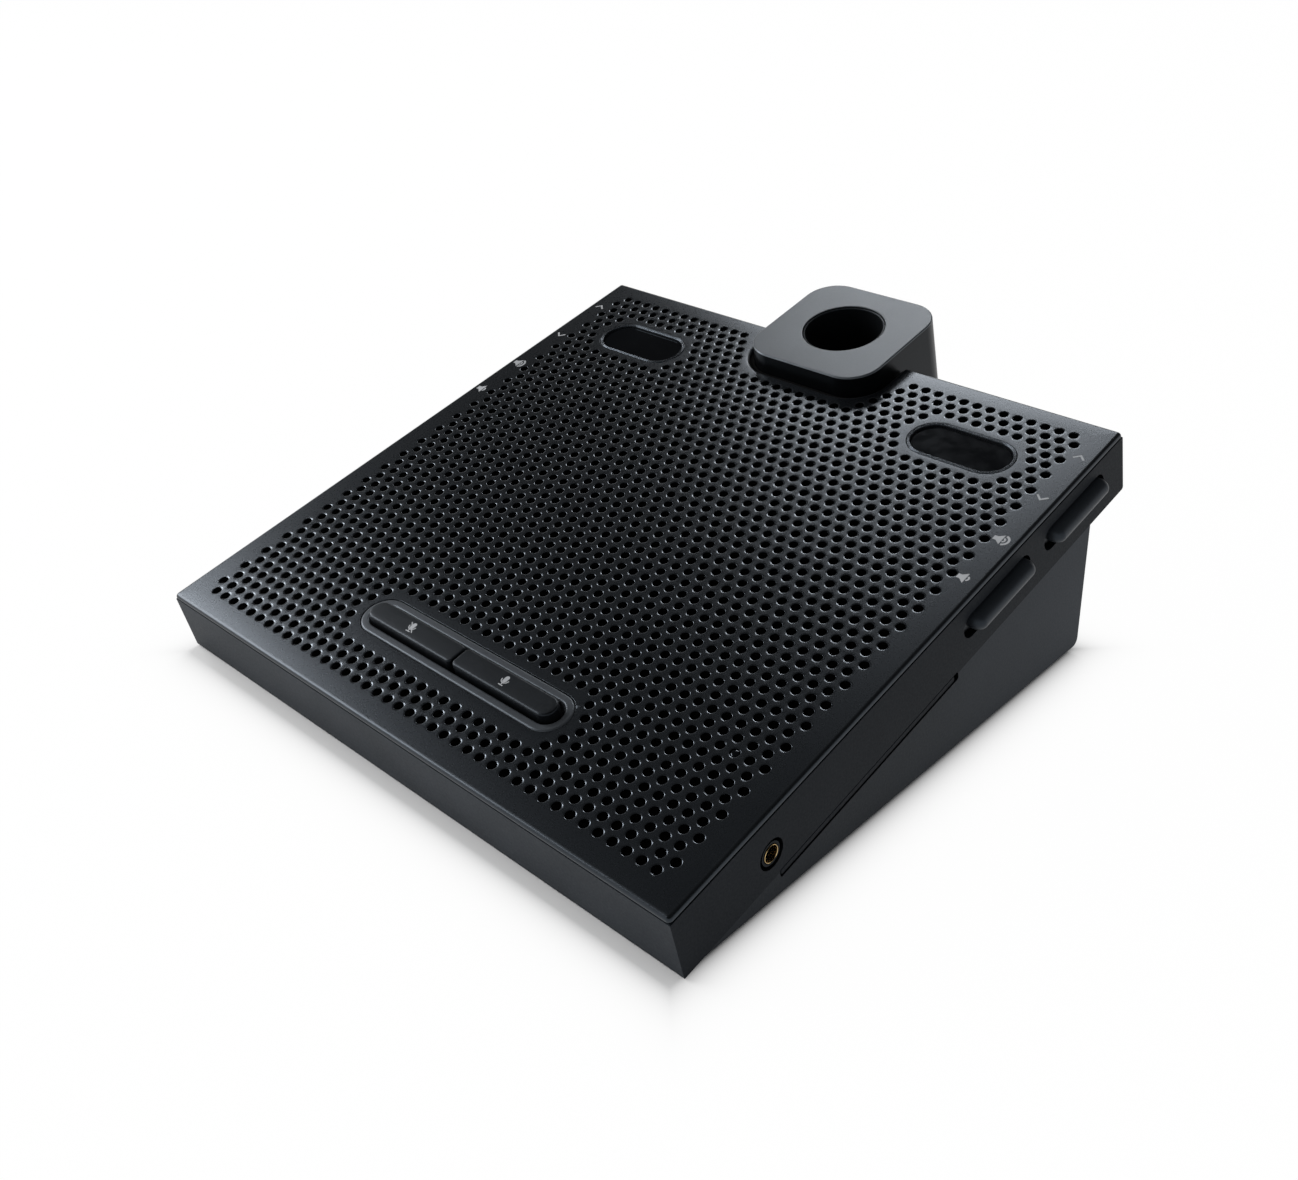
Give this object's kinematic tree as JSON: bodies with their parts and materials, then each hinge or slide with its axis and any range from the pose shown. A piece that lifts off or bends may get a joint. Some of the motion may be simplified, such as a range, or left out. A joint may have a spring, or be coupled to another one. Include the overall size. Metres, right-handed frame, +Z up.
{
  "type": "conference delegate unit",
  "caption": "Sloped desk unit for meetings: perforated top over a loudspeaker, mute and talk buttons, small display windows, side rocker keys and a gooseneck microphone socket.",
  "frame": {"origin": "middle of the object's bounding box at the level of the desk, under the feet", "axes": "+X to the user's right, -Y toward the user, +Y toward the gooseneck socket, +Z up"},
  "size_m": [0.1536, 0.1662, 0.0581],
  "materials": {
    "plate_grey": "satin powder coat, slightly blue charcoal",
    "housing_grey": "fine matt moulded charcoal",
    "block_grey": "fine matt moulded grey",
    "cover_black": "matt black moulding",
    "cloth_black": "black acoustic cloth",
    "frame_black": "matt black moulding",
    "button_grey": "satin dark grey keys",
    "key_black": "satin black keys",
    "window_glass": "smoked gloss window",
    "module_black": "black display module",
    "pip_smoke": "smoked light pipe",
    "plain_steel": "bright metal",
    "contact_gold": "gold plated",
    "moulded_black": "black moulding",
    "foot_rubber": "soft black rubber",
    "board_green": "green circuit board"
  },
  "bodies": {
    "housing": {"acoustic_cloth": "cloth_black", "amplifier_chip": "moulded_black", "bottom_cover": "cover_black", "button_bezel": "plate_grey", "button_board": "board_green", "capacitor_1": "plain_steel", "capacitor_2": "plain_steel", "card_reader": "plain_steel", "card_slot_blank": "housing_grey", "cover_screw_1": "plain_steel", "cover_screw_2": "plain_steel", "cover_screw_3": "plain_steel", "cover_screw_4": "plain_steel", "display_bezel_left": "plain_steel", "display_bezel_right": "plain_steel", "display_lens_left": "window_glass", "display_lens_right": "window_glass", "display_module_left": "module_black", "display_module_right": "module_black", "grille_plate": "plate_grey", "headphone_jack_left": "moulded_black", "headphone_jack_right": "moulded_black", "housing_shell": "housing_grey", "jack_ring_left": "contact_gold", "jack_ring_right": "contact_gold", "main_board": "board_green", "mute_switch": "plain_steel", "network_port_1": "plain_steel", "network_port_2": "plain_steel", "processor_chip": "moulded_black", "rubber_foot_1": "foot_rubber", "rubber_foot_2": "foot_rubber", "rubber_foot_3": "foot_rubber", "rubber_foot_4": "foot_rubber", "sensor_pip": "pip_smoke", "side_switch_board_left": "board_green", "side_switch_board_right": "board_green", "socket_block": "block_grey", "socket_contact_block": "moulded_black", "socket_sleeve": "plain_steel", "speaker_basket": "plain_steel", "speaker_cone": "cloth_black", "speaker_magnet": "plain_steel", "talk_switch": "plain_steel", "upper_frame": "frame_black"},
    "mute_button": {"mute_button": "button_grey"},
    "talk_button": {"talk_button": "button_grey"},
    "channel_key_right": {"channel_key_right": "key_black"},
    "volume_key_right": {"volume_key_right": "key_black"},
    "channel_key_left": {"channel_key_left": "key_black"},
    "volume_key_left": {"volume_key_left": "key_black"}
  },
  "joints": [
    {"name": "mute_press", "type": "slide", "parent": "housing", "child": "mute_button", "axis": [0, 0.2326, -0.9726], "range_m": [0, 0.0007], "stiffness_N_per_m": 900},
    {"name": "talk_press", "type": "slide", "parent": "housing", "child": "talk_button", "axis": [0, 0.2326, -0.9726], "range_m": [0, 0.0007], "stiffness_N_per_m": 900},
    {"name": "channel_rock_right", "type": "hinge", "parent": "housing", "child": "channel_key_right", "pos_m": [0.0723, 0.04204, 0.03753], "axis": [0, -0.2326, 0.9726], "range_deg": [-3, 3], "stiffness_Nm_per_rad": 0.6},
    {"name": "volume_rock_right", "type": "hinge", "parent": "housing", "child": "volume_key_right", "pos_m": [0.0723, 0.01291, 0.03056], "axis": [0, -0.2326, 0.9726], "range_deg": [-3, 3], "stiffness_Nm_per_rad": 0.6},
    {"name": "channel_rock_left", "type": "hinge", "parent": "housing", "child": "channel_key_left", "pos_m": [-0.0723, 0.04204, 0.03753], "axis": [0, -0.2326, 0.9726], "range_deg": [-3, 3], "stiffness_Nm_per_rad": 0.6},
    {"name": "volume_rock_left", "type": "hinge", "parent": "housing", "child": "volume_key_left", "pos_m": [-0.0723, 0.01291, 0.03056], "axis": [0, -0.2326, 0.9726], "range_deg": [-3, 3], "stiffness_Nm_per_rad": 0.6}
  ]
}
